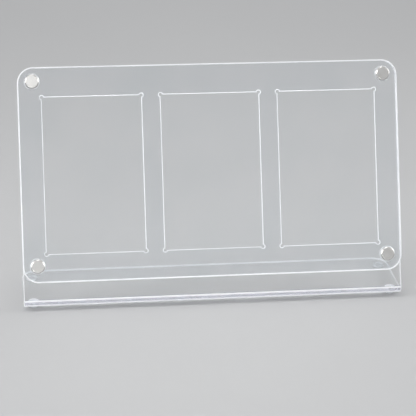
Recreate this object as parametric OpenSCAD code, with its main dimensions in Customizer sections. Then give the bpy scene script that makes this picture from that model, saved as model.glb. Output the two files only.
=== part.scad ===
// Clear acrylic display case for a row of cards.
//
// One sheet is heat-bent into a leaning face and a foot that runs backward on the table. A thin middle
// layer with a window for each card is bonded to the face, and a flat cover plate lies over it, held by
// pairs of disc magnets at its corners. The cover lifts straight off along the face's own normal.
//
// Frame: millimetres, +Z up, the front of the case looks along -Y. The origin is on the table, in the
// middle of the case's width and depth.

/* [Cards] */
// Number of card windows side by side
card_count = 3; // [1:1:5]
// Width of a card
card_w = 55; // [45:0.5:70]
// Height of a card
card_h = 87; // [70:0.5:110]
// Play round a card on each side
card_play = 0.5; // [0.2:0.1:1.5]

/* [Face] */
// Bar between two neighbouring windows
window_gap = 11; // [5:0.5:25]
// From a window to the side edge
side_margin = 13.5; // [11:0.5:30]
// From a window to the top edge
top_margin = 17; // [13:0.5:30]
// From a window to the cover's bottom edge
bottom_margin = 16; // [14:0.5:30]
// Radius of the cover's corners and the face's top corners
corner_r = 9; // [5:0.5:14]
// Radius of the round reliefs at the window corners
relief_r = 1; // [0.6:0.1:2]

/* [Layers] */
// Thickness of the bent sheet
sheet_t = 3; // [2:0.5:6]
// Thickness of the middle layer, which is the depth of a card pocket
frame_t = 1; // [0.8:0.1:1.6]
// Thickness of the cover plate
cover_t = 2; // [2:0.5:5]
// Air between the closed cover and the middle layer
cover_gap = 0.1; // [0.05:0.05:0.5]
// Polished bevel round both rims of the cover plate
cover_bevel = 0.5; // [0.1:0.1:0.8]

/* [Stand] */
// Lean of the face from upright, in degrees
tilt = 22; // [10:1:35]
// Inner radius of the bend
bend_r = 1; // [0.5:0.5:8]
// Straight part of the face between the bend and the cover's bottom edge
cover_lift = 9.5; // [4:0.1:25]
// Straight part of the foot behind the bend
foot_flat = 42; // [34:1:80]
// Radius of the foot's rear corners
foot_corner_r = 9; // [4:0.5:14]

/* [Magnets] */
// Diameter of a disc magnet
magnet_d = 8; // [6:0.5:9]
// Thickness of a disc magnet
magnet_t = 2; // [1.6:0.1:2.2]
// How far a front magnet stands out of the cover
magnet_proud = 0.7; // [0.3:0.1:1]
// Bevel round both rims of a magnet
magnet_bevel = 0.6; // [0.1:0.1:0.8]
// Glue line round a magnet in its bore
magnet_glue = 0.1; // [0.05:0.05:0.3]
// From a magnet's centre to the side edge
magnet_side = 8.3; // [7:0.1:11]
// From an upper magnet's centre to the top edge
magnet_top = 8; // [7:0.1:9]
// From a lower magnet's centre to the cover's bottom edge
magnet_bottom = 9.3; // [7:0.1:10]

/* [Bumpers] */
// Diameter of a bumper where it sticks to the foot
bumper_d = 6; // [5:0.5:10]
// Height of a bumper
bumper_h = 1.5; // [0.8:0.1:3]
// Radius of a bumper's rounded lower rim
bumper_round = 0.7; // [0.2:0.1:0.7]
// From a bumper's centre to the side of the foot
bumper_side = 5.5; // [5:0.5:20]
// From a front bumper's centre to the start of the foot's straight part
bumper_front = 3.2; // [3:0.1:12]
// From a rear bumper's centre to the foot's rear edge
bumper_rear = 7.5; // [6:0.5:15]

/* [Hidden] */
$fn = 96;

// which way a piece lies from the middle of the case
LEFT = -1;
RIGHT = 1;

// a cut runs this far past the face that it opens
past = 1;

// card windows and the plate round them
window_w = card_w + 2 * card_play;
window_h = card_h + 2 * card_play;
window_pitch = window_w + window_gap;
plate_w = card_count * window_w + (card_count - 1) * window_gap + 2 * side_margin;
plate_h = bottom_margin + window_h + top_margin;

// heights above the face's front surface, counted outward
cover_back = frame_t + cover_gap;
cover_front = cover_back + cover_t;

// distances up the face, counted from the end of the bend
cover_low = cover_lift;
cover_high = cover_lift + plate_h;
window_low = cover_low + bottom_margin;
magnet_low = cover_low + magnet_bottom;
magnet_high = cover_high - magnet_top;

// magnets: the rear ones end flush with the middle layer, the front ones stand proud of the cover
magnet_x = plate_w / 2 - magnet_side;
bore_r = magnet_d / 2 + magnet_glue;
rear_magnet_floor = frame_t - magnet_t;
front_magnet_floor = cover_front + magnet_proud - magnet_t;

// the face and the foot each turn this far away from the middle of the bend
half_fold = (90 + tilt) / 2;

// side view of the bend: its axis lies over the start of the foot's straight part
bend_outer_r = bend_r + sheet_t;
bend_z = bumper_h + bend_outer_r;
foremost = bend_outer_r;
rearmost = max(foot_flat, cover_high * sin(tilt) - bend_r * cos(tilt));
bend_y = (foremost - rearmost) / 2;

bumper_x = plate_w / 2 - bumper_side;

// -- placing ---------------------------------------------------------------------------------------

// Puts children at the bend's axis, with Z pointing out through the middle of the bend
module at_fold() {
    translate([0, bend_y, bend_z])
        rotate([180 - half_fold, 0, 0])
            children();
}

// Turns children from the middle of the bend to a flat leg: Y along the leg, Z out of its outer side
module on_leg() {
    rotate([-half_fold, 0, 0])
        children();
}

// Swaps the face's side of the fold and the foot's
module other_leg() {
    rotate([0, 0, 180])
        children();
}

// Lays children on the face: X across, Y up the face from the end of the bend, Z outward from its front
module on_face() {
    at_fold()
        on_leg()
            translate([0, 0, bend_outer_r])
                children();
}

// Puts children at every magnet's centre on the face
module at_magnets() {
    for (x = [-magnet_x, magnet_x], y = [magnet_low, magnet_high])
        translate([x, y, 0])
            children();
}

// Puts children at the middle of every window's lower edge on the face
module at_windows() {
    for (i = [0 : card_count - 1])
        translate([(i - (card_count - 1) / 2) * window_pitch, window_low, 0])
            children();
}

// -- shapes ----------------------------------------------------------------------------------------

// Outline from y = 0 up to y = h, with its own radius for the upper and the lower corners (0 is square)
module plate_outline(w, h, upper_r, lower_r) {
    translate([-w / 2, lower_r])
        square([w, h - upper_r - lower_r]);
    translate([-w / 2 + upper_r, h - upper_r])
        square([w - 2 * upper_r, upper_r]);
    for (x = [-w / 2 + upper_r, w / 2 - upper_r])
        translate([x, h - upper_r])
            circle(upper_r);
    if (lower_r > 0) {
        translate([-w / 2 + lower_r, 0])
            square([w - 2 * lower_r, lower_r]);
        for (x = [-w / 2 + lower_r, w / 2 - lower_r])
            translate([x, lower_r])
                circle(lower_r);
    }
}

// Section of a plate with both rims bevelled, w wide and t thick
function bevelled_section(w, t, bevel) = [
    [-w / 2 + bevel, 0], [w / 2 - bevel, 0], [w / 2, bevel], [w / 2, t - bevel],
    [w / 2 - bevel, t], [-w / 2 + bevel, t], [-w / 2, t - bevel], [-w / 2, bevel]
];

// Half section of a disc with both rims bevelled, for turning about Z
function bevelled_half(r, t, bevel) = [
    [0, 0], [r - bevel, 0], [r, bevel], [r, t - bevel], [r - bevel, t], [0, t]
];

module bevelled_disc(r, t, bevel) {
    rotate_extrude()
        polygon(bevelled_half(r, t, bevel));
}

// Plate with round corners and both rims bevelled, from y = 0 up to y = h and from z = 0 up to z = t
module bevelled_plate(w, h, t, r, bevel) {
    // band from side to side
    translate([0, h - r, 0])
        rotate([90, 0, 0])
            linear_extrude(h - 2 * r)
                polygon(bevelled_section(w, t, bevel));
    // band from bottom to top
    translate([-w / 2 + r, h / 2, 0])
        rotate([90, 0, 90])
            linear_extrude(w - 2 * r)
                polygon(bevelled_section(h, t, bevel));
    // round corners
    for (x = [-w / 2 + r, w / 2 - r], y = [r, h - r])
        translate([x, y, 0])
            bevelled_disc(r, t, bevel);
}

// One card window, with a round relief at each corner so that a square corner goes right in
module window_cut(depth) {
    linear_extrude(depth) {
        translate([-window_w / 2, 0])
            square([window_w, window_h]);
        for (x = [-window_w / 2, window_w / 2], y = [0, window_h])
            translate([x, y])
                circle(relief_r);
    }
}

module magnet_disc() {
    bevelled_disc(magnet_d / 2, magnet_t, magnet_bevel);
}

// Half of the round bend: the part of a tube between the bend's middle and the start of a leg
module half_bend() {
    cut_w = plate_w + 2 * past;
    reach = bend_outer_r + past;
    difference() {
        on_leg()
            rotate([0, 90, 0])
                cylinder(h = plate_w, r = bend_outer_r, center = true);
        on_leg()
            rotate([0, 90, 0])
                cylinder(h = cut_w, r = bend_r, center = true);
        on_leg()
            translate([-cut_w / 2, 0, -reach])
                cube([cut_w, reach, 2 * reach]);
        translate([-cut_w / 2, -reach, -reach])
            cube([cut_w, reach, 2 * reach]);
    }
}

// One leg of the bent sheet: half of the bend, and a flat part with two round corners at its end
module leg(flat, end_r) {
    half_bend();
    on_leg()
        translate([0, 0, bend_r])
            linear_extrude(sheet_t)
                plate_outline(plate_w, flat, end_r, 0);
}

// -- sub-parts -------------------------------------------------------------------------------------

// Leaning face, bend and foot, bent from one sheet, with shallow bores for the rear magnets
module back_panel() {
    color("aliceblue", 0.4)
    difference() {
        at_fold() {
            leg(cover_high, corner_r);
            other_leg()
                leg(foot_flat, foot_corner_r);
        }
        on_face()
            at_magnets()
                translate([0, 0, rear_magnet_floor])
                    cylinder(h = magnet_t, r = bore_r);
    }
}

// Middle layer: as deep as a card pocket, with a window for each card and a bore for each rear magnet
module pocket_frame() {
    color("lightcyan", 0.5)
    on_face()
        difference() {
            translate([0, cover_low, 0])
                linear_extrude(frame_t)
                    plate_outline(plate_w, plate_h, corner_r, corner_r);
            translate([0, 0, -past])
                at_windows()
                    window_cut(frame_t + 2 * past);
            translate([0, 0, -past])
                at_magnets()
                    cylinder(h = frame_t + 2 * past, r = bore_r);
        }
}

// Cover plate, with a blind bore in its front for each front magnet
module front_cover() {
    color("aliceblue", 0.4)
    on_face()
        difference() {
            translate([0, cover_low, cover_back])
                bevelled_plate(plate_w, plate_h, cover_t, corner_r, cover_bevel);
            translate([0, 0, front_magnet_floor])
                at_magnets()
                    cylinder(h = magnet_t, r = bore_r);
        }
}

// Disc magnet glued into the cover; its face and bevelled rim show at the front
module front_magnet(side, up) {
    color("silver")
    on_face()
        translate([side * magnet_x, up, front_magnet_floor])
            magnet_disc();
}

// Disc magnet glued into the stand, through the middle layer and into the bent sheet
module rear_magnet(side, up) {
    color("silver")
    on_face()
        translate([side * magnet_x, up, rear_magnet_floor])
            magnet_disc();
}

// Clear soft bumper with a rounded lower rim, stuck under the foot
module bumper(side, back) {
    color("white", 0.6)
    translate([side * bumper_x, bend_y + back, 0])
        rotate_extrude() {
            translate([0, bumper_round])
                square([bumper_d / 2, bumper_h - bumper_round]);
            square([bumper_d / 2 - bumper_round, bumper_round]);
            translate([bumper_d / 2 - bumper_round, bumper_round])
                intersection() {
                    circle(bumper_round);
                    translate([0, -bumper_round])
                        square(bumper_round);
                }
        }
}

// -- nodes -----------------------------------------------------------------------------------------

back_panel();
pocket_frame();
front_cover();
front_magnet(LEFT, magnet_high);  // front_magnet_top_left
front_magnet(RIGHT, magnet_high);  // front_magnet_top_right
front_magnet(LEFT, magnet_low);  // front_magnet_bottom_left
front_magnet(RIGHT, magnet_low);  // front_magnet_bottom_right
rear_magnet(LEFT, magnet_high);  // rear_magnet_top_left
rear_magnet(RIGHT, magnet_high);  // rear_magnet_top_right
rear_magnet(LEFT, magnet_low);  // rear_magnet_bottom_left
rear_magnet(RIGHT, magnet_low);  // rear_magnet_bottom_right
bumper(LEFT, bumper_front);  // bumper_front_left
bumper(RIGHT, bumper_front);  // bumper_front_right
bumper(LEFT, foot_flat - bumper_rear);  // bumper_rear_left
bumper(RIGHT, foot_flat - bumper_rear);  // bumper_rear_right
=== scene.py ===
"""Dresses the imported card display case: stand, pocket layer, lift-off cover, disc magnets and bumpers.

The plates are built lying flat, in millimetres, in the frame of the case's face: X across, Y up the face
from the end of the bend, Z outward from the bent sheet's front. A plate is then scaled to metres and laid on
the face. The bent sheet is built as the flat blank that it is cut from, and folded afterwards as a heater
folds the real one.
"""

import logging
import math
from dataclasses import dataclass
from enum import Enum, IntEnum
from typing import Callable, Sequence

import bmesh
import bpy
from mathutils import Matrix, Vector


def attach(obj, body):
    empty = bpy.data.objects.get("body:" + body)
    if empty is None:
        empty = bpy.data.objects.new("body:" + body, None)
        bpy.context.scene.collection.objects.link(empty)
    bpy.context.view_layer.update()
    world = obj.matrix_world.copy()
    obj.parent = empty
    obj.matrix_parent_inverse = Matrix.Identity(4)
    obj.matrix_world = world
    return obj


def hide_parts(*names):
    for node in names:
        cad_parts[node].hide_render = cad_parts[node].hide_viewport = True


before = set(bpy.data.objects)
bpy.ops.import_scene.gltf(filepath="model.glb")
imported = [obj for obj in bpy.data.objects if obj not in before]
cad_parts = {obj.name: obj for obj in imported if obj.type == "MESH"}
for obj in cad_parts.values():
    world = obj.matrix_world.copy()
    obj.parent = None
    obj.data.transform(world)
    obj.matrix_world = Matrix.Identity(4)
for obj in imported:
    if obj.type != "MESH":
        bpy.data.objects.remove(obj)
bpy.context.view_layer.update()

LOG = logging.getLogger("card_case")
MM = 0.001

ACRYLIC_IOR = 1.49
# Where nearly all values of a noise pattern lie.
NOISE_LOW, NOISE_HIGH = 0.3, 0.7
# Sockets of a Mix node that is set to colours: its two colours, and its result.
MIX_FIRST, MIX_SECOND, MIX_RESULT = 6, 7, 2

# A face is one of a plate's flats when its normal's Z is over the first, and a wall when under the second.
FLAT_MIN, WALL_MAX = 0.99, 0.01
# A face looks along an axis when its normal reaches this far along it.
FACING = 0.9
# Turns, in degrees, past which an edge stays a crease in a finished piece, and is rounded on a magnet.
PIECE_CREASE, MAGNET_CREASE = 50.0, 30.0
# How much more the large faces count when normals are evened out.
LARGE_FACE_WEIGHT = 100
# Gaps that count as nothing, in millimetres: between the ends of a level edge, and from a point to a cut.
LEVEL_GAP, CUT_GAP = 1e-6, 1e-5

# Faces round a plate's corner and round each kind of drum, and across the roundings of the edges.
CORNER_STEPS, BORE_STEPS, MAGNET_STEPS, BUMPER_STEPS, RELIEF_STEPS = 12, 64, 72, 48, 32
RIM_STEPS, BEVEL_STEPS, DOME_STEPS = 2, 1, 6

Triple = tuple[float, float, float]
Colour = Triple
Value = float | bpy.types.NodeSocket


class Side(Enum):
    """Which side of the case a piece lies on, as seen from the front."""

    LEFT = -1
    RIGHT = 1


class Level(Enum):
    """Whether a magnet lies in the upper or the lower row."""

    TOP = "top"
    BOTTOM = "bottom"


class End(Enum):
    """Which edge of the foot a bumper lies by."""

    FRONT = "front"
    REAR = "rear"


class Depth(Enum):
    """Whether a magnet is one of the stand's, behind, or one of the cover's, in front."""

    REAR = "rear"
    FRONT = "front"


class SheetFinish(IntEnum):
    """Finishes of the bent sheet, in the order of its material slots."""

    POLISHED = 0
    BEND = 1
    CUT_EDGE = 2
    # Painted highlight: a white spot over the front bumpers only.
    TACK = 3
    # Painted light: the foot's side and rear edges are one cut edge, made clearer at the sides and whiter at
    # the rear.
    FOOT_SIDE = 4
    FOOT_REAR = 5


CORNERS = [(side, level) for side in Side for level in Level]


@dataclass(frozen=True)
class CaseSizes:
    """Sizes that the pieces share, in millimetres and degrees."""

    plate_w: float = 217.0
    plate_h: float = 121.0
    corner_r: float = 9.0
    window_w: float = 56.0
    window_h: float = 88.0
    window_gap: float = 11.0
    bottom_margin: float = 16.0
    relief_r: float = 1.0
    sheet_t: float = 3.0
    frame_t: float = 1.0
    cover_t: float = 2.0
    cover_gap: float = 0.1
    tilt: float = 22.0
    bend_r: float = 1.0
    cover_lift: float = 9.5
    foot_flat: float = 42.0
    magnet_r: float = 4.0
    magnet_t: float = 2.0
    magnet_proud: float = 0.7
    magnet_bevel: float = 0.6
    magnet_polish: float = 0.1
    magnet_glue: float = 0.1
    magnet_side: float = 8.3
    magnet_top: float = 8.0
    magnet_bottom: float = 9.3
    bumper_r: float = 3.0
    bumper_h: float = 1.5
    bumper_round: float = 0.7
    bumper_side: float = 5.5
    bumper_front: float = 3.2
    bumper_rear: float = 7.5
    seam: float = 0.02

    @property
    def cover_back(self) -> float:
        """Height of the cover's back over the face."""
        return self.frame_t + self.cover_gap

    @property
    def cover_front(self) -> float:
        """Height of the cover's front over the face."""
        return self.cover_back + self.cover_t

    @property
    def face_end(self) -> float:
        """Distance from the bend to the top edge, up the face."""
        return self.cover_lift + self.plate_h

    @property
    def window_low(self) -> float:
        """Distance from the bend to the windows' lower edges, up the face."""
        return self.cover_lift + self.bottom_margin

    @property
    def layer_cut(self) -> float:
        """Height of a cutter that goes through the middle layer, with a layer's thickness to spare each way."""
        return self.frame_t * 3

    @property
    def bend_outer_r(self) -> float:
        """Outer radius of the bend."""
        return self.bend_r + self.sheet_t

    @property
    def fold(self) -> float:
        """Angle that the sheet is bent through, in radians."""
        return math.radians(90.0 + self.tilt)

    @property
    def bend_length(self) -> float:
        """Length of the bend along the middle of the sheet."""
        return self.fold * (self.bend_r + self.sheet_t / 2)

    @property
    def bend_y(self) -> float:
        """Place of the bend's axis, front to back.

        Returns:
            The Y that puts the case's depth evenly about the origin.
        """
        lean = math.radians(self.tilt)
        top_y = self.face_end * math.sin(lean) - self.bend_r * math.cos(lean)
        return (self.bend_outer_r - max(self.foot_flat, top_y)) / 2

    @property
    def bend_z(self) -> float:
        """Height of the bend's axis over the table."""
        return self.bumper_h + self.bend_outer_r

    @property
    def bore_r(self) -> float:
        """Radius of the bore that a magnet is glued into."""
        return self.magnet_r + self.magnet_glue

    def magnet_floor(self, depth: Depth) -> float:
        """Height over the face of the floor that a magnet rests on."""
        front = {Depth.REAR: self.frame_t, Depth.FRONT: self.cover_front + self.magnet_proud}[depth]
        return front - self.magnet_t

    def magnet_spot(self, side: Side, level: Level) -> tuple[float, float]:
        """Centre of a magnet on the face.

        Args:
            side: left or right.
            level: upper or lower row.

        Returns:
            X and Y on the face.
        """
        x = side.value * (self.plate_w / 2 - self.magnet_side)
        low = self.cover_lift + self.magnet_bottom
        return x, low if level is Level.BOTTOM else self.face_end - self.magnet_top

    def face_matrix(self) -> Matrix:
        """Works out where the face lies.

        Returns:
            The matrix that lays face millimetres on the leaning face, in metres.
        """
        place = Matrix.Translation((0, self.bend_y, self.bend_z))
        turn = Matrix.Rotation(math.radians(90.0 - self.tilt), 4, "X")
        return Matrix.Scale(MM, 4) @ place @ turn @ Matrix.Translation((0, 0, self.bend_outer_r))


SIZES = CaseSizes()


# -- finishes ----------------------------------------------------------------------------------------


class Graph:
    """A material's node tree, with short calls for the nodes that the finishes share."""

    def __init__(self, name: str) -> None:
        """Starts an empty material with an output.

        Args:
            name: the material's name.
        """
        self.material = bpy.data.materials.new(name)
        self.material.use_nodes = True
        self.tree = self.material.node_tree
        self.tree.nodes.clear()
        self.output = self.add("ShaderNodeOutputMaterial")
        self.place = self.add("ShaderNodeTexCoord").outputs["Object"]

    def link(self, source: bpy.types.NodeSocket, target: bpy.types.NodeSocket) -> None:
        """Links two sockets."""
        self.tree.links.new(source, target)

    def feed(self, socket: bpy.types.NodeSocket, value: object) -> None:
        """Gives an input its value.

        Args:
            socket: the input.
            value: a plain value, or a socket to link.
        """
        if isinstance(value, bpy.types.NodeSocket):
            self.link(value, socket)
        else:
            socket.default_value = value

    def add(self, kind: str, **values: object) -> bpy.types.Node:
        """Adds a node.

        Args:
            kind: the node's type.
            values: inputs by name, underscores for spaces, as plain values or as sockets to link.

        Returns:
            The new node.
        """
        node = self.tree.nodes.new(kind)
        for key, value in values.items():
            self.feed(node.inputs[key.replace("_", " ")], value)
        return node

    def noise(
        self, scale: float, detail: float, stretch: Triple = (1.0, 1.0, 1.0), slant: float = 0.0
    ) -> bpy.types.NodeSocket:
        """Noise over the piece.

        Args:
            scale: patterns to the metre.
            detail: octaves of finer noise.
            stretch: how far the pattern is drawn out along X, Y and Z.
            slant: turn of the drawn-out pattern about Y, in degrees.

        Returns:
            The noise's value socket.
        """
        turn = (0.0, math.radians(slant), 0.0)
        spread = self.add("ShaderNodeMapping", Vector=self.place, Rotation=turn, Scale=stretch)
        spread.vector_type = "TEXTURE"
        node = self.add("ShaderNodeTexNoise", Vector=spread.outputs["Vector"], Scale=scale, Detail=detail)
        return node.outputs["Fac"]

    def spread(
        self, value: Value, span: tuple[float, float], low: float, high: float
    ) -> bpy.types.NodeSocket:
        """Spreads a value's range over another one.

        Args:
            value: the value.
            span: the start and end of its range, past which it counts as one of them.
            low: what the start becomes.
            high: what the end becomes.

        Returns:
            The result's socket.
        """
        node = self.add(
            "ShaderNodeMapRange", Value=value, From_Min=span[0], From_Max=span[1], To_Min=low, To_Max=high
        )
        return node.outputs["Result"]

    def ramp(self, noise: bpy.types.NodeSocket, low: float, high: float) -> bpy.types.NodeSocket:
        """Spreads a noise pattern's values from low to high."""
        return self.spread(noise, (NOISE_LOW, NOISE_HIGH), low, high)

    def blend(self, noise: bpy.types.NodeSocket, low: Colour, high: Colour) -> bpy.types.NodeSocket:
        """Mixes two colours by a noise pattern.

        Args:
            noise: the pattern's value socket.
            low: the colour where the pattern is low.
            high: the colour where it is high.

        Returns:
            The mixed colour's socket.
        """
        node = self.tree.nodes.new("ShaderNodeMix")
        node.data_type = "RGBA"
        self.link(self.ramp(noise, 0.0, 1.0), node.inputs["Factor"])
        node.inputs[MIX_FIRST].default_value = (*low, 1.0)
        node.inputs[MIX_SECOND].default_value = (*high, 1.0)
        return node.outputs[MIX_RESULT]

    def math(self, job: str, first_value: Value, second_value: Value = 0.0) -> bpy.types.NodeSocket:
        """Reckons with one or two values.

        Args:
            job: the math node's operation.
            first_value: a number or a socket.
            second_value: a number or a socket, where the operation takes two.

        Returns:
            The result's socket.
        """
        node = self.tree.nodes.new("ShaderNodeMath")
        node.operation = job
        for socket, value in zip(node.inputs, (first_value, second_value)):
            self.feed(socket, value)
        return node.outputs[0]

    def bump(self, value: bpy.types.NodeSocket, strength: float, depth: float) -> bpy.types.NodeSocket:
        """Bumps the surface by a value, depth in metres."""
        node = self.add("ShaderNodeBump", Height=value, Strength=strength, Distance=depth)
        return node.outputs["Normal"]

    def mix(self, share: Value, base: bpy.types.Node, other: bpy.types.Node) -> bpy.types.Node:
        """Mixes two shaders.

        Args:
            share: how much of the other shader shows.
            base: the shader that shows where the share is 0.
            other: the shader that shows where it is 1.

        Returns:
            The mixed shader.
        """
        node = self.add("ShaderNodeMixShader", Fac=share)
        self.link(base.outputs[0], node.inputs[1])
        self.link(other.outputs[0], node.inputs[2])
        return node

    def finished(self, shader: bpy.types.Node) -> bpy.types.Material:
        """Puts a shader on the surface and returns the material."""
        self.link(shader.outputs[0], self.output.inputs["Surface"])
        return self.material


@dataclass(frozen=True)
class ClearPlastic:
    """The polished face of clear plastic, which bends light."""

    name: str
    pale: Colour
    deep: Colour
    smooth: float
    dull: float
    ior: float = ACRYLIC_IOR
    ripple_scale: float = 40.0
    ripple_strength: float = 0.5
    ripple_depth: float = 0.00001
    smear_scale: float = 240.0
    shade: float = 0.93

    def material(self) -> bpy.types.Material:
        """Builds the finish.

        Returns:
            Its material. Lamps shine through it, so that it throws the faint shadow of a clear sheet.
        """
        g = Graph(self.name)
        cloud = g.noise(self.ripple_scale, 2.0)
        smear = g.noise(self.smear_scale, 4.0)
        body = g.add(
            "ShaderNodeBsdfPrincipled",
            Base_Color=g.blend(cloud, self.deep, self.pale),
            Roughness=g.ramp(smear, self.smooth, self.dull),
            IOR=self.ior,
            Transmission_Weight=1.0,
            Normal=g.bump(cloud, self.ripple_strength, self.ripple_depth),
        )
        lit = g.add("ShaderNodeBsdfTransparent", Color=(self.shade, self.shade, self.shade, 1.0))
        rays = g.add("ShaderNodeLightPath")
        return g.finished(g.mix(rays.outputs["Is Shadow Ray"], body, lit))


@dataclass(frozen=True)
class FrostedEdge:
    """A cut edge of clear plastic, or soft gel: fine ridges that scatter the light inside it."""

    name: str
    pale: Colour = (0.97, 0.98, 1.0)
    deep: Colour = (0.90, 0.92, 0.95)
    clear: float = 0.35
    glow: float = 0.45
    smooth: float = 0.3
    dull: float = 0.5
    ridge_scale: float = 900.0
    ridge_strength: float = 0.6
    ridge_depth: float = 0.00004
    patch_scale: float = 60.0
    grain: Triple = (1.0, 1.0, 1.0)

    def material(self) -> bpy.types.Material:
        """Builds the finish.

        Returns:
            Its material. Part of the light goes through it, as through ground glass.
        """
        g = Graph(self.name)
        ridges = g.noise(self.ridge_scale, 3.0, self.grain)
        patches = g.noise(self.patch_scale, 2.0)
        colour = g.blend(patches, self.deep, self.pale)
        normal = g.bump(ridges, self.ridge_strength, self.ridge_depth)
        body = g.add(
            "ShaderNodeBsdfPrincipled",
            Base_Color=colour,
            Roughness=g.ramp(ridges, self.smooth, self.dull),
            IOR=ACRYLIC_IOR,
            Transmission_Weight=self.clear,
            Normal=normal,
        )
        through = g.add("ShaderNodeBsdfTranslucent", Color=colour, Normal=normal)
        return g.finished(g.mix(self.glow, body, through))


@dataclass(frozen=True)
class PaintedHighlightLine:
    """A painted highlight line along the bend. Its place round the axis, over level, and half its width are in
    degrees.
    """

    middle: float
    half: float
    strength: float


@dataclass(frozen=True)
class HeatedBend:
    """The outer side of a bend in clear plastic, with painted highlight lines along it and a darker tint that
    is painted shade.
    """

    name: str
    axis_y: float
    axis_z: float
    highlight_lines: Sequence[PaintedHighlightLine]
    # Colour of the painted highlight lines.
    pale: Colour = (0.97, 0.98, 1.0)
    # Painted shade: a darker tint on the bend's clear plastic, which the rest of the sheet does not have.
    painted_shade_tint: Colour = (0.48, 0.49, 0.57)
    soft: float = 4.0
    streak_scale: float = 500.0
    streak_stretch: Triple = (60.0, 1.0, 1.0)
    streak_low: float = 0.9
    dull: float = 0.03
    # Roughness of the painted highlight lines.
    highlight_dull: float = 0.25
    glow: float = 0.3

    def around(self, g: Graph) -> bpy.types.NodeSocket:
        """Finds where a point lies round the bend.

        Args:
            g: the material's graph.

        Returns:
            The socket of its angle round the bend's axis, in degrees over level, as seen from the front.
        """
        parts = g.add("ShaderNodeSeparateXYZ", Vector=g.place)
        up = g.math("SUBTRACT", parts.outputs["Z"], self.axis_z)
        out = g.math("SUBTRACT", self.axis_y, parts.outputs["Y"])
        return g.math("MULTIPLY", g.math("ARCTAN2", up, out), math.degrees(1.0))

    def material(self) -> bpy.types.Material:
        """Builds the finish.

        Returns:
            Its material: clear plastic darkened by painted shade, with a pale painted highlight along each
                line.
        """
        g = Graph(self.name)
        angle = self.around(g)
        painted_highlight: Value = 0.0
        # Painted highlight: pale bands at fixed angles round the bend, standing in for bright lines of light.
        for line in self.highlight_lines:
            off = g.math("ABSOLUTE", g.math("SUBTRACT", angle, line.middle))
            fade = (line.half - self.soft / 2, line.half + self.soft / 2)
            painted_highlight = g.math("MAXIMUM", painted_highlight, g.spread(off, fade, line.strength, 0.0))
        streaks = g.noise(self.streak_scale, 2.0, self.streak_stretch)
        painted_highlight = g.math("MULTIPLY", painted_highlight, g.ramp(streaks, self.streak_low, 1.0))
        clear = g.add(
            "ShaderNodeBsdfPrincipled",
            # Painted shade, darkening the bend's plastic between and beside the painted highlight lines.
            Base_Color=(*self.painted_shade_tint, 1.0),
            Roughness=g.ramp(streaks, 0.0, self.dull),
            IOR=ACRYLIC_IOR,
            Transmission_Weight=1.0,
        )
        pale = (*self.pale, 1.0)
        # The painted highlight's pale shader, part diffuse and part translucent.
        highlight_diffuse = g.add("ShaderNodeBsdfPrincipled", Base_Color=pale, Roughness=self.highlight_dull)
        inner = g.add("ShaderNodeBsdfTranslucent", Color=pale)
        return g.finished(g.mix(painted_highlight, clear, g.mix(self.glow, highlight_diffuse, inner)))


@dataclass(frozen=True)
class Nickel:
    """Bright nickel plating with fine polishing marks and a few duller patches."""

    name: str
    bright: Colour = (0.80, 0.795, 0.78)
    worn: Colour = (0.70, 0.69, 0.67)
    smooth: float = 0.2
    dull: float = 0.25
    patch_scale: float = 260.0
    mark_scale: float = 4000.0
    mark_stretch: Triple = (1.0, 4.0, 12.0)
    mark_slant: float = 40.0
    mark_strength: float = 0.3
    mark_depth: float = 0.00003

    def material(self) -> bpy.types.Material:
        """Builds the finish.

        Returns:
            Its material.
        """
        g = Graph(self.name)
        patches = g.noise(self.patch_scale, 4.0)
        marks = g.noise(self.mark_scale, 3.0, self.mark_stretch, self.mark_slant)
        body = g.add(
            "ShaderNodeBsdfPrincipled",
            Base_Color=g.blend(patches, self.worn, self.bright),
            Metallic=1.0,
            Roughness=g.ramp(patches, self.dull, self.smooth),
            Normal=g.bump(marks, self.mark_strength, self.mark_depth),
        )
        return g.finished(body)


@dataclass(frozen=True)
class PaleTable:
    """A plain pale table top with a trace of mottling."""

    name: str = "pale_table"
    light: Colour = (0.53, 0.533, 0.537)
    dark: Colour = (0.515, 0.518, 0.522)
    mottle_scale: float = 3.0
    dull: float = 0.9
    shine: float = 0.1

    def material(self) -> bpy.types.Material:
        """Builds the finish.

        Returns:
            Its material.
        """
        g = Graph(self.name)
        body = g.add(
            "ShaderNodeBsdfPrincipled",
            Base_Color=g.blend(g.noise(self.mottle_scale, 2.0), self.dark, self.light),
            Roughness=self.dull,
            Specular_IOR_Level=self.shine,
        )
        return g.finished(body)


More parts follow.
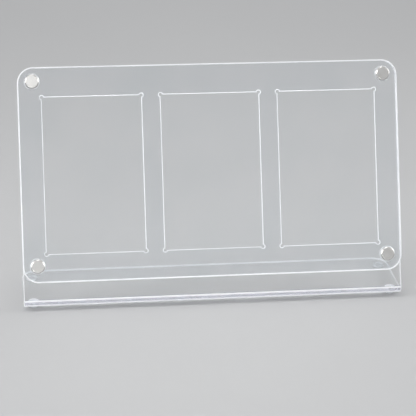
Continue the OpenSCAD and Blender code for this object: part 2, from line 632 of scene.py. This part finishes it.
@dataclass
class Finishes:
    """The materials that the pieces share."""

    sheet: bpy.types.Material
    layer: bpy.types.Material
    cover: bpy.types.Material
    bend: bpy.types.Material
    sheet_edge: bpy.types.Material
    layer_edge: bpy.types.Material
    cover_edge: bpy.types.Material
    # Painted light: a clearer copy of the cut edge for the foot's sides and a whiter one for its rear.
    foot_side: bpy.types.Material
    foot_rear: bpy.types.Material
    nickel: bpy.types.Material
    bumper: bpy.types.Material
    bumper_top: bpy.types.Material
    # Painted highlight: the white spots at the front bumpers.
    tack: bpy.types.Material

    @classmethod
    def build(cls) -> "Finishes":
        """Builds every material once.

        Returns:
            The materials.
        """
        clear, cool = (0.992, 0.996, 1.0), (0.975, 0.985, 0.99)
        layer_clear, layer_cool = (0.985, 0.99, 1.0), (0.965, 0.975, 0.985)
        # Painted highlight lines on the bend: middle angle, half width and strength of each.
        highlight_lines = (PaintedHighlightLine(9.5, 7.5, 0.95), PaintedHighlightLine(-45.0, 20.0, 0.85))
        return cls(
            sheet=ClearPlastic("cast_sheet", clear, cool, 0.0, 0.012).material(),
            layer=ClearPlastic("middle_layer", layer_clear, layer_cool, 0.01, 0.03).material(),
            cover=ClearPlastic("cover_sheet", clear, cool, 0.0, 0.01).material(),
            bend=HeatedBend("heated_bend", SIZES.bend_y * MM, SIZES.bend_z * MM, highlight_lines).material(),
            sheet_edge=FrostedEdge("sheet_edge", clear=0.5, glow=0.35, grain=(1.0, 6.0, 3.0)).material(),
            layer_edge=FrostedEdge("layer_edge", clear=0.2, glow=0.4).material(),
            cover_edge=FrostedEdge("cover_edge", clear=0.1, glow=0.2).material(),
            # Painted light: clearer copy of the cut edge for the foot's sides, whiter copy for its rear.
            foot_side=FrostedEdge("foot_side", clear=0.65, glow=0.22, smooth=0.1, dull=0.3).material(),
            foot_rear=FrostedEdge("foot_rear", clear=0.1, glow=0.65).material(),
            nickel=Nickel("nickel_plate").material(),
            bumper=FrostedEdge("bumper_gel", glow=0.15, ridge_scale=600.0, ridge_depth=0.00001).material(),
            bumper_top=ClearPlastic("bumper_top", clear, cool, 0.02, 0.06, ior=1.45).material(),
            # Painted highlight: a fully white, matte spot at the front bumpers only.
            tack=FrostedEdge("bumper_tack", clear=0.0, glow=0.0, ridge_scale=1500.0).material(),
        )


# -- shaping -----------------------------------------------------------------------------------------


def round_edges(
    bm: bmesh.types.BMesh, edges: Sequence[bmesh.types.BMEdge], width: float, steps: int
) -> None:
    """Rounds some edges of a mesh.

    Args:
        bm: the mesh.
        edges: its edges to round.
        width: width of the rounding.
        steps: faces across it.
    """
    bmesh.ops.bevel(
        bm, geom=edges, offset=width, offset_type="OFFSET", affect="EDGES", segments=steps, profile=0.5,
        clamp_overlap=False, material=-1,
    )


def block(low: Vector, high: Vector) -> bmesh.types.BMesh:
    """A block from its lowest to its highest corner.

    Args:
        low: lowest corner.
        high: highest corner.

    Returns:
        The block's mesh.
    """
    bm = bmesh.new()
    bmesh.ops.create_cube(bm, size=1.0)
    bmesh.ops.scale(bm, vec=high - low, verts=bm.verts)
    bmesh.ops.translate(bm, vec=(low + high) / 2, verts=bm.verts)
    return bm


def rounded_block(low: Vector, high: Vector, radius: float) -> bmesh.types.BMesh:
    """A flat block whose upright edges are rounded.

    Args:
        low: lowest corner.
        high: highest corner.
        radius: radius of the four upright edges.

    Returns:
        The block's mesh.
    """
    bm = block(low, high)
    upright = [e for e in bm.edges if abs(e.verts[0].co.z - e.verts[1].co.z) > LEVEL_GAP]
    round_edges(bm, upright, radius, CORNER_STEPS)
    return bm


def rim_edges(bm: bmesh.types.BMesh) -> list[bmesh.types.BMEdge]:
    """Finds the edges between the flats and the walls of a plate that lies in XY.

    Args:
        bm: the plate, with its normals up to date.

    Returns:
        Its rims.
    """
    rims = []
    for edge in bm.edges:
        if len(edge.link_faces) == 2:
            wall_z, flat_z = sorted(abs(face.normal.z) for face in edge.link_faces)
            if flat_z > FLAT_MIN and wall_z < WALL_MAX:
                rims.append(edge)
    return rims


def ease_rims(bm: bmesh.types.BMesh, width: float, steps: int = RIM_STEPS) -> None:
    """Rounds the rims of a plate that lies in XY."""
    bm.normal_update()
    round_edges(bm, rim_edges(bm), width, steps)


def drum(bm: bmesh.types.BMesh, centre: Vector, radius: float, height: float, steps: int) -> None:
    """Adds an upright drum to a mesh.

    Args:
        bm: the mesh.
        centre: the middle of the drum's lower end.
        radius: its radius.
        height: its height.
        steps: faces round it.
    """
    bmesh.ops.create_cone(
        bm, cap_ends=True, segments=steps, radius1=radius, radius2=radius, depth=height,
        matrix=Matrix.Translation(centre + Vector((0, 0, height / 2))),
    )


def merged(bm: bmesh.types.BMesh, name: str) -> bpy.types.Object:
    """Turns a bmesh into an object in the scene.

    Args:
        bm: the bmesh. It is freed.
        name: the object's name.

    Returns:
        The object.
    """
    mesh = bpy.data.meshes.new(name)
    bm.to_mesh(mesh)
    bm.free()
    obj = bpy.data.objects.new(name, mesh)
    bpy.context.scene.collection.objects.link(obj)
    return obj


def settled(obj: bpy.types.Object) -> bpy.types.Mesh:
    """The object's mesh with its modifiers applied."""
    graph = bpy.context.evaluated_depsgraph_get()
    return bpy.data.meshes.new_from_object(obj.evaluated_get(graph), depsgraph=graph)


def carved(body: bmesh.types.BMesh, cutter: bmesh.types.BMesh) -> bmesh.types.BMesh:
    """Cuts one shape out of another.

    Args:
        body: what is cut.
        cutter: what is taken away.

    Returns:
        What is left, as a new mesh. Both arguments are freed.
    """
    solid, tool = merged(body, "solid"), merged(cutter, "tool")
    cut = solid.modifiers.new("cut", "BOOLEAN")
    cut.operation, cut.solver, cut.object = "DIFFERENCE", "EXACT", tool
    mesh = settled(solid)
    bm = bmesh.new()
    bm.from_mesh(mesh)
    for scrap in (solid, tool):
        old = scrap.data
        bpy.data.objects.remove(scrap)
        bpy.data.meshes.remove(old)
    bpy.data.meshes.remove(mesh)
    bm.normal_update()
    return bm


@dataclass
class Piece:
    """One finished piece of the case."""

    name: str
    body: str
    slot: str
    nodes: Sequence[str]
    finishes: Sequence[bpy.types.Material]

    def make(
        self, bm: bmesh.types.BMesh, place: Matrix, choose: Callable[[bmesh.types.BMFace], int]
    ) -> None:
        """Places a mesh, dresses it and hands it to its body.

        Args:
            bm: the mesh, in millimetres. It is freed.
            place: what takes it to the row frame, in metres.
            choose: says which finish a face takes, asked before the mesh is placed.
        """
        bm.normal_update()
        for face in bm.faces:
            face.material_index = choose(face)
            face.smooth = True
        bmesh.ops.transform(bm, matrix=place, verts=bm.verts)
        for edge in bm.edges:
            edge.smooth = edge.is_manifold and edge.calc_face_angle(0.0) < math.radians(PIECE_CREASE)
        obj = merged(bm, self.name)
        for finish in self.finishes:
            obj.data.materials.append(finish)
        even = obj.modifiers.new("even_normals", "WEIGHTED_NORMAL")
        even.keep_sharp = True
        even.weight = LARGE_FACE_WEIGHT
        mesh = settled(obj)
        obj.modifiers.clear()
        old, obj.data = obj.data, mesh
        bpy.data.meshes.remove(old)
        mesh.name = self.name
        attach(obj, self.body)
        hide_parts(*self.nodes)
        LOG.info("%s: %d faces on %s", self.name, len(mesh.polygons), self.body)


def first(_: bmesh.types.BMFace) -> int:
    """Gives every face the first finish."""
    return 0


def wall(face: bmesh.types.BMFace) -> int:
    """Gives a plate's two flats the first finish, and its walls and rims the second."""
    return int(abs(face.normal.z) < FLAT_MIN)


def top(face: bmesh.types.BMFace) -> int:
    """Gives the faces that look up the second finish, and the rest the first."""
    return int(face.normal.z > FACING)


# -- shapes that the stand and the cover share ---------------------------------------------------------


def plate_blank(sizes: CaseSizes, back: float, front: float) -> bmesh.types.BMesh:
    """The rounded blank of the middle layer or of the cover.

    Args:
        sizes: the case's sizes.
        back: height of its back over the face.
        front: height of its front over the face.

    Returns:
        The blank's mesh.
    """
    half = sizes.plate_w / 2
    low, high = Vector((-half, sizes.cover_lift, back)), Vector((half, sizes.face_end, front))
    return rounded_block(low, high, sizes.corner_r)


def bores(sizes: CaseSizes, floor: float, height: float) -> bmesh.types.BMesh:
    """Drums that cut the bores of four magnets.

    Args:
        sizes: the case's sizes.
        floor: height of the bores' floor over the face.
        height: height of the drums.

    Returns:
        The drums as one mesh.
    """
    bm = bmesh.new()
    for side, level in CORNERS:
        drum(bm, Vector((*sizes.magnet_spot(side, level), floor)), sizes.bore_r, height, BORE_STEPS)
    return bm


def four_magnets(sizes: CaseSizes, finishes: Finishes, depth: Depth, body: str) -> None:
    """Glues four disc magnets into their bores.

    Args:
        sizes: the case's sizes.
        finishes: the case's materials.
        depth: behind, in the stand, or in front, in the cover.
        body: the body that carries them.
    """
    floor = sizes.magnet_floor(depth) + sizes.seam
    for side, level in CORNERS:
        spot = Vector((*sizes.magnet_spot(side, level), floor))
        bm = bmesh.new()
        drum(bm, spot, sizes.magnet_r, sizes.magnet_t - sizes.seam, MAGNET_STEPS)
        ease_rims(bm, sizes.magnet_bevel, BEVEL_STEPS)
        bm.normal_update()
        limit = math.radians(MAGNET_CREASE)
        creases = [e for e in bm.edges if e.is_manifold and e.calc_face_angle() > limit]
        round_edges(bm, creases, sizes.magnet_polish, RIM_STEPS)
        node = f"{depth.value}_magnet_{level.value}_{side.name.lower()}"
        piece = Piece(f"{node}_disc", body, "magnet_nickel", [node], [finishes.nickel])
        piece.make(bm, sizes.face_matrix(), first)


# -- the stand ---------------------------------------------------------------------------------------


@dataclass
class Stand:
    """Bent sheet, pocket layer, rear magnets and bumpers, which stay on the table."""

    sizes: CaseSizes
    finishes: Finishes
    rim: float = 0.45
    window_rim: float = 0.42
    bend_steps: int = 20
    # Radius and depth of the painted highlight spots at the front bumpers.
    highlight_spot_r: float = 2.9
    highlight_spot_cut: float = 1.0

    def bumper_spots(self) -> list[tuple[Side, End, float, float]]:
        """Lists where the bumpers lie.

        Returns:
            Side, edge of the foot, X and distance behind the bend's axis of each bumper.
        """
        s = self.sizes
        back = {End.FRONT: s.bumper_front, End.REAR: s.foot_flat - s.bumper_rear}
        across = s.plate_w / 2 - s.bumper_side
        return [(side, end, side.value * across, back[end]) for side in Side for end in End]

    def highlight_spots(self) -> bmesh.types.BMesh:
        """Drums that sink the front bumpers' white spots, a painted highlight, a hair into the blank's outer
        side.

        Returns:
            The drums as one mesh.
        """
        s = self.sizes
        bm = bmesh.new()
        for _, end, x, back in self.bumper_spots():
            if end is End.FRONT:
                spot = Vector((x, -s.bend_length - back, -s.seam))
                drum(bm, spot, self.highlight_spot_r, self.highlight_spot_cut, BUMPER_STEPS)
        return bm

    def fold(self, point: Vector) -> Vector:
        """Folds a point of the flat blank round the bend.

        Args:
            point: X, distance along the blank from the end of the bend, and height over the face.

        Returns:
            The point on the bent sheet, in the face's frame.
        """
        s = self.sizes
        if point.y >= 0:
            return point
        reach = point.z + s.bend_outer_r
        angle = min(-point.y / s.bend_length, 1.0) * s.fold
        past = max(-point.y - s.bend_length, 0.0)
        out = Vector((0, -math.sin(angle), math.cos(angle)))
        along = Vector((0, -math.cos(angle), -math.sin(angle)))
        return Vector((point.x, 0, -s.bend_outer_r)) + reach * out + past * along

    def sheet_finish(self, face: bmesh.types.BMFace) -> SheetFinish:
        """Says which finish a face of the flat blank takes.

        Args:
            face: the face, before the blank is folded.

        Returns:
            Its finish.
        """
        s = self.sizes
        middle = face.calc_center_median()
        if wall(face):
            if middle.y > -s.bend_length:
                return SheetFinish.CUT_EDGE
            # Painted light: the foot's rear edge takes a whiter copy of the cut-edge finish than its sides.
            return SheetFinish.FOOT_SIDE if abs(face.normal.x) > FACING else SheetFinish.FOOT_REAR
        # Painted highlight: the white spots at the front bumpers.
        if -2 * s.seam < middle.z < 0:
            return SheetFinish.TACK
        if -s.bend_length < middle.y < 0 and face.normal.z > 0:
            return SheetFinish.BEND
        return SheetFinish.POLISHED

    def bent_sheet(self) -> None:
        """Cuts the blank, sinks the rear magnets' bores into it and folds it."""
        s, f = self.sizes, self.finishes
        half = s.plate_w / 2
        start = -s.bend_length - s.foot_flat
        bm = rounded_block(Vector((-half, start, -s.sheet_t)), Vector((half, s.face_end, 0)), s.corner_r)
        ease_rims(bm, self.rim)
        bm = carved(bm, bores(s, s.magnet_floor(Depth.REAR), s.magnet_t))
        bm = carved(bm, self.highlight_spots())
        for step in range(self.bend_steps + 1):
            cut = (0, -s.bend_length * step / self.bend_steps, 0)
            everything = [*bm.verts, *bm.edges, *bm.faces]
            bmesh.ops.bisect_plane(bm, geom=everything, dist=CUT_GAP, plane_co=cut, plane_no=(0, 1, 0))
        bm.normal_update()
        finish = bm.faces.layers.int.new("finish")
        for face in bm.faces:
            face[finish] = self.sheet_finish(face)
        for vert in bm.verts:
            vert.co = self.fold(vert.co)
        dress = [f.sheet, f.bend, f.sheet_edge, f.tack, f.foot_side, f.foot_rear]
        piece = Piece("bent_stand", "stand", "clear_sheet", ["back_panel"], dress)
        piece.make(bm, s.face_matrix(), lambda face: face[finish])

    def window(self, centre_x: float) -> bmesh.types.BMesh:
        """A cutter for one card window.

        Args:
            centre_x: where the window's middle lies across the face.

        Returns:
            The cutter's mesh.
        """
        s = self.sizes
        low = Vector((centre_x - s.window_w / 2, s.window_low, -s.frame_t))
        return block(low, low + Vector((s.window_w, s.window_h, s.layer_cut)))

    def reliefs(self, centre_x: float) -> bmesh.types.BMesh:
        """Cutters for the round reliefs at the corners of one window.

        Args:
            centre_x: where the window's middle lies across the face.

        Returns:
            The cutters as one mesh.
        """
        s = self.sizes
        bm = bmesh.new()
        for x in (centre_x - s.window_w / 2, centre_x + s.window_w / 2):
            for y in (s.window_low, s.window_low + s.window_h):
                drum(bm, Vector((x, y, -s.frame_t)), s.relief_r, s.layer_cut, RELIEF_STEPS)
        return bm

    def pocket_layer(self) -> None:
        """Cuts the windows and the magnets' bores out of the middle layer."""
        s, f = self.sizes, self.finishes
        bm = plate_blank(s, s.seam, s.frame_t)
        for place in (-1, 0, 1):
            centre_x = place * (s.window_w + s.window_gap)
            bm = carved(bm, self.window(centre_x))
            bm = carved(bm, self.reliefs(centre_x))
        bm = carved(bm, bores(s, -s.frame_t, s.layer_cut))
        ease_rims(bm, self.window_rim)
        piece = Piece("pocket_layer", "stand", "clear_frame", ["pocket_frame"], [f.layer, f.layer_edge])
        piece.make(bm, s.face_matrix(), wall)

    def bumpers(self) -> None:
        """Sticks the four bumpers under the foot."""
        s, f = self.sizes, self.finishes
        for side, end, x, back in self.bumper_spots():
            bm = bmesh.new()
            drum(bm, Vector((x, s.bend_y + back, 0)), s.bumper_r, s.bumper_h - s.seam, BUMPER_STEPS)
            bm.normal_update()
            lower = [e for e in rim_edges(bm) if e.verts[0].co.z < s.bumper_h / 2]
            round_edges(bm, lower, s.bumper_round, DOME_STEPS)
            node = f"bumper_{end.value}_{side.name.lower()}"
            piece = Piece(f"{node}_dome", "stand", "clear_bumper", [node], [f.bumper, f.bumper_top])
            piece.make(bm, Matrix.Scale(MM, 4), top)

    def build(self) -> None:
        """Builds everything that stays on the table."""
        self.bent_sheet()
        self.pocket_layer()
        four_magnets(self.sizes, self.finishes, Depth.REAR, "stand")
        self.bumpers()


# -- the cover ---------------------------------------------------------------------------------------


@dataclass
class Cover:
    """Cover plate and its magnets, which lift off together."""

    sizes: CaseSizes
    finishes: Finishes
    rim: float = 0.7

    def plate(self) -> None:
        """Builds the plate with a blind bore in its front for each magnet."""
        s, f = self.sizes, self.finishes
        bm = plate_blank(s, s.cover_back, s.cover_front)
        ease_rims(bm, self.rim)
        bm = carved(bm, bores(s, s.magnet_floor(Depth.FRONT), s.magnet_t))
        piece = Piece("cover_plate", "cover", "clear_cover", ["front_cover"], [f.cover, f.cover_edge])
        piece.make(bm, s.face_matrix(), wall)

    def build(self) -> None:
        """Builds everything that lifts off."""
        self.plate()
        four_magnets(self.sizes, self.finishes, Depth.FRONT, "cover")


# -- the studio --------------------------------------------------------------------------------------


@dataclass(frozen=True)
class SoftBox:
    """A soft lamp. Glow is how bright its face is, and shine how bright it looks in reflections."""

    name: str
    place: Triple
    width: float
    height: float
    glow: float
    shine: float
    aim: Triple = (0.0, 0.0, 0.06)
    spread: float = 90.0

    def hang(self, name: str, strength: float, mirrored: bool) -> None:
        """Hangs one lamp. Its power follows from how bright its face is, seen straight on.

        Args:
            name: the lamp's name.
            strength: brightness of its face.
            mirrored: whether reflections show it.
        """
        half = math.radians(self.spread / 2)
        data = bpy.data.lights.new(name, "AREA")
        data.shape = "RECTANGLE"
        data.size, data.size_y = self.width, self.height
        data.energy = strength * math.pi * self.width * self.height * (1 - half / math.tan(half))
        data.spread = math.radians(self.spread)
        lamp = bpy.data.objects.new(name, data)
        lamp.location = self.place
        look = Vector(self.aim) - Vector(self.place)
        lamp.rotation_euler = look.to_track_quat("-Z", "Y").to_euler()
        lamp.visible_camera = False
        lamp.visible_glossy = mirrored
        bpy.context.scene.collection.objects.link(lamp)

    def light(self) -> None:
        """Hangs the part that reflections show and, in the same place, the rest."""
        self.hang(self.name, self.shine, True)
        if self.glow > self.shine:
            self.hang(f"{self.name}_fill", self.glow - self.shine, False)


SOFT_BOXES = (
    SoftBox("left_box", (-0.9, -0.08, 0.48), 0.25, 0.85, 7.0, 7.0),
    SoftBox("right_box", (0.9, -0.08, 0.48), 0.25, 0.85, 5.8, 5.8),
    SoftBox("top_box", (-0.1, 0.10, 1.2), 0.8, 0.3, 3.0, 3.0),
    SoftBox("low_box", (-0.25, -1.25, 0.10), 0.9, 0.16, 13.0, 10.0),
    SoftBox("front_box", (-0.40, -1.15, 0.90), 0.6, 0.35, 4.6, 4.6),
    SoftBox("rear_box", (0.2, 1.3, 0.10), 0.9, 0.14, 20.0, 2.0),
)


@dataclass
class Studio:
    """Pale table, soft lamps and the camera, in metres and degrees."""

    lens: float = 147.115
    sensor: float = 36.0
    place: Triple = (-0.12520, -0.88942, 0.42894)
    turn: Triple = (67.0446, -1.0723, -7.4489)
    nearest: float = 0.01
    farthest: float = 50.0
    reach: float = 6.0
    drop: float = 0.0001
    room: Colour = (0.985, 0.99, 1.0)
    horizon: float = 0.52
    overhead: float = 0.64
    overhead_from: float = 0.9
    bounces: int = 24
    clear_bounces: int = 32

    def table(self) -> None:
        """Lays the table just under the bumpers."""
        bm = bmesh.new()
        bmesh.ops.create_grid(bm, x_segments=1, y_segments=1, size=self.reach)
        bmesh.ops.translate(bm, vec=(0, 0, -self.drop), verts=bm.verts)
        floor = merged(bm, "table")
        floor.data.materials.append(PaleTable().material())

    def world(self) -> None:
        """Sets the pale room, as pale as the table at the horizon and brighter overhead."""
        world = bpy.data.worlds.new("pale_room")
        bpy.context.scene.world = world
        world.use_nodes = True
        tree = world.node_tree
        sky = tree.nodes["Background"]
        up = tree.nodes.new("ShaderNodeSeparateXYZ")
        tree.links.new(tree.nodes.new("ShaderNodeTexCoord").outputs["Generated"], up.inputs[0])
        rise = tree.nodes.new("ShaderNodeMapRange")
        values = {
            "From Min": 0.0,
            "From Max": self.overhead_from,
            "To Min": self.horizon,
            "To Max": self.overhead,
        }
        for key, value in values.items():
            rise.inputs[key].default_value = value
        tree.links.new(up.outputs["Z"], rise.inputs["Value"])
        tree.links.new(rise.outputs["Result"], sky.inputs["Strength"])
        sky.inputs["Color"].default_value = (*self.room, 1.0)

    def camera(self) -> None:
        """Puts the camera where the photograph was taken from."""
        data = bpy.data.cameras.new("camera")
        data.lens, data.sensor_width = self.lens, self.sensor
        data.clip_start, data.clip_end = self.nearest, self.farthest
        camera = bpy.data.objects.new("camera", data)
        camera.location = self.place
        camera.rotation_euler = tuple(math.radians(angle) for angle in self.turn)
        bpy.context.scene.collection.objects.link(camera)
        bpy.context.scene.camera = camera

    def build(self) -> None:
        """Builds the studio."""
        self.table()
        self.world()
        for box in SOFT_BOXES:
            box.light()
        self.camera()
        scene = bpy.context.scene
        scene.view_settings.view_transform = "Standard"
        scene.cycles.max_bounces = scene.cycles.transmission_bounces = self.bounces
        scene.cycles.transparent_max_bounces = self.clear_bounces


def main() -> None:
    """Builds the studio and the case, in order."""
    logging.basicConfig(level=logging.INFO, format="%(message)s")
    Studio().build()
    finishes = Finishes.build()
    for part in (Stand(SIZES, finishes), Cover(SIZES, finishes)):
        part.build()
        LOG.info("%s is built", type(part).__name__)


if __name__ == "__main__":
    main()
